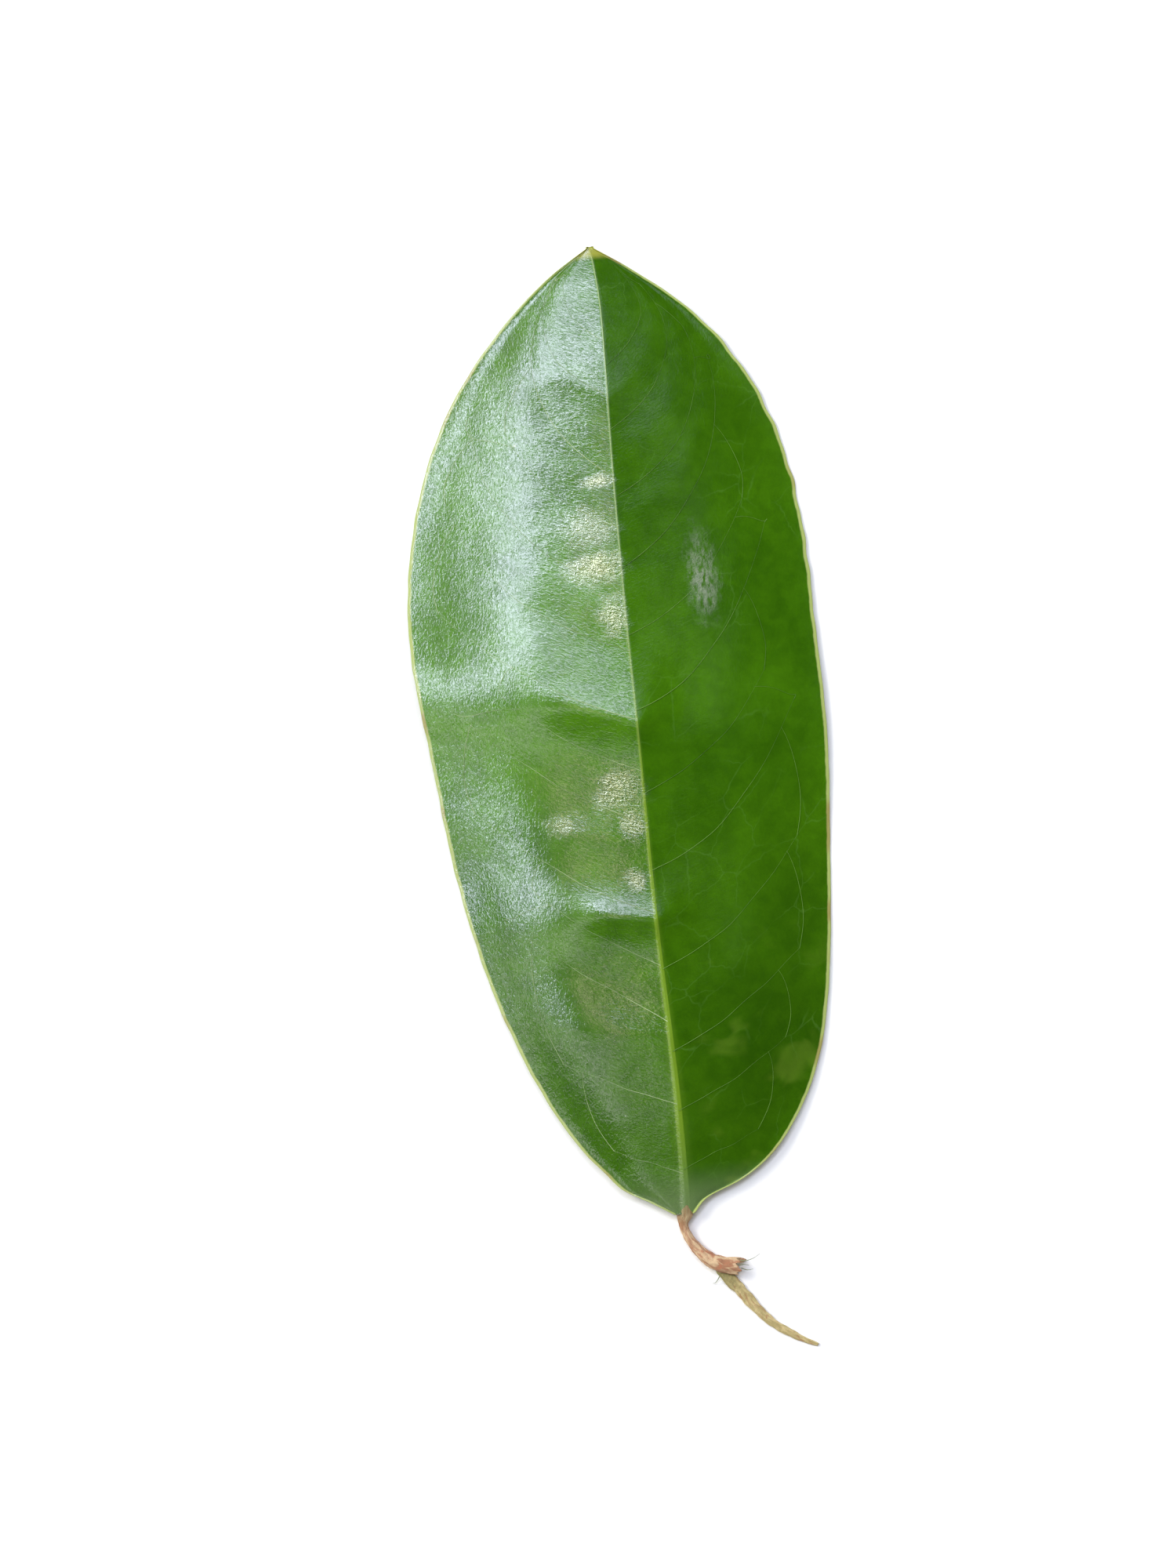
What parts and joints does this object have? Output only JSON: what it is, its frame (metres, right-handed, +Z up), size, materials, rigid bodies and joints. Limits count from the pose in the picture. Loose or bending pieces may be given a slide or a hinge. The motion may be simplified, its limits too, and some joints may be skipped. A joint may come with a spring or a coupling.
{
  "type": "soursop leaf",
  "caption": "Picked soursop leaf lying face up: a long oval leathery blade, gently arched over its midrib, with a short curved stalk and a torn strip of bark.",
  "frame": {"origin": "on the surface the leaf lies on, under the middle of the whole leaf's bounding box", "axes": "+Y from the foot of the blade towards its tip, +X to the right seen from above, +Z up through the upper face"},
  "size_m": [0.0542, 0.1494, 0.0076],
  "materials": {
    "leaf_blade": "leathery green leaf skin, satin, paler below",
    "leaf_stalk": "corky pinkish brown young bark, matte",
    "bark_strip": "torn fibrous bark, greenish tan, matte"
  },
  "bodies": {
    "root": {"leaf": "leaf_blade"}
  },
  "joints": []
}
